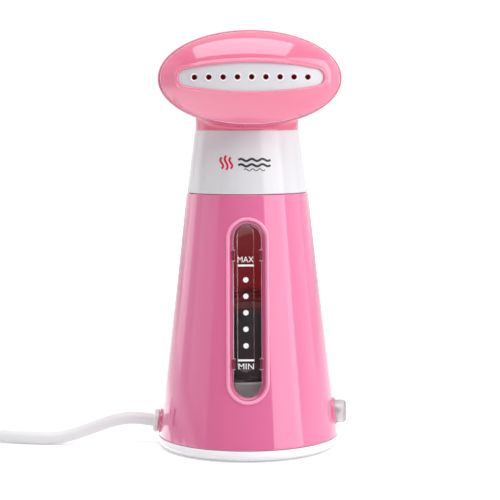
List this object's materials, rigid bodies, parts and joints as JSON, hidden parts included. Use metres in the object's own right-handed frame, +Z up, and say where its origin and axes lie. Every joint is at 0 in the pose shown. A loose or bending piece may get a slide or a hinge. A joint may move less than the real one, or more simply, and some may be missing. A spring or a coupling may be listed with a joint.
{
  "type": "handheld garment steamer",
  "caption": "Freestanding garment steamer: tapered water tank with gauge window, screw-off elbow head with wide steam plate, side push button, cord tied in a hank, and plug.",
  "frame": {"origin": "centre of the grip pad's underside, on the surface the steamer stands on", "axes": "+Z up through the tank; -Y the way the nozzle and the gauge window face; +X the power button's side"},
  "size_m": [0.2987, 0.1834, 0.2247],
  "materials": {
    "body_pink": "glossy",
    "head_pink": "glossy",
    "white_gloss": "glossy",
    "gauge_clear": "clear",
    "button_clear": "clear",
    "bushing": "translucent satin",
    "cord": "satin",
    "black_plastic": "matte",
    "inner_plastic": "satin",
    "silicone": "matte",
    "grip_rubber": "matte",
    "steel": "pressed",
    "screws": "zinc plated",
    "brass": "plated",
    "lamp": "clear",
    "fuse_sleeve": "woven glass fibre",
    "wire_brown": "satin",
    "wire_red": "satin",
    "wire_blue": "satin"
  },
  "bodies": {
    "tank": {"tank_shell": "body_pink", "base_cover": "white_gloss", "window_lens": "gauge_clear", "cord_bushing": "bushing", "power_cord": "cord", "plug_body": "cord", "boiler_shroud": "black_plastic", "switch_body": "black_plastic", "thermostat": "black_plastic", "cord_tie": "black_plastic", "boiler_clamp": "inner_plastic", "cord_clamp": "inner_plastic", "window_seal": "silicone", "boiler_gasket": "silicone", "grip_pad": "grip_rubber", "boiler_cup": "steel", "heating_element": "steel", "fuse_clip": "steel", "button_spring": "steel", "base_screw_1": "screws", "base_screw_2": "screws", "base_screw_3": "screws", "clamp_screw_1": "screws", "clamp_screw_2": "screws", "clamp_screw_3": "screws", "cord_clamp_screw_1": "screws", "cord_clamp_screw_2": "screws", "plug_pin_1": "brass", "plug_pin_2": "brass", "thermal_fuse": "fuse_sleeve", "wire_live": "wire_brown", "wire_switched": "wire_red", "wire_heater": "wire_red", "wire_fused": "wire_blue", "wire_neutral": "wire_blue"},
    "seal": {"cap_gasket": "silicone"},
    "head": {"head_front_shell": "head_pink", "head_rear_shell": "head_pink", "steam_plate": "white_gloss", "plate_seal": "silicone", "steam_chamber": "inner_plastic", "steam_duct": "inner_plastic", "duct_seal": "silicone", "chamber_screw_1": "screws", "chamber_screw_2": "screws", "collar": "white_gloss", "cap_insert": "inner_plastic", "spill_baffle": "inner_plastic", "head_screw_1": "screws", "head_screw_2": "screws", "head_screw_3": "screws"},
    "button": {"power_button": "button_clear", "switch_plunger": "white_gloss", "indicator_lamp": "lamp"}
  },
  "joints": [
    {"name": "head_lift", "type": "slide", "parent": "tank", "child": "seal", "axis": [0, 0, 1], "range_m": [0, 0.0075]},
    {"name": "head_turn", "type": "hinge", "parent": "seal", "child": "head", "pos_m": [0, 0, 0.155], "axis": [0, 0, 1], "range_deg": [0, 540]},
    {"name": "button_press", "type": "slide", "parent": "tank", "child": "button", "axis": [-0.9903, 0.1392, 0], "range_m": [0, 0.002], "deforming": ["button_spring"]}
  ],
  "couplings": [
    {"joint": "head_lift", "follows": "head_turn", "m_per_rad": 0.00079577}
  ]
}
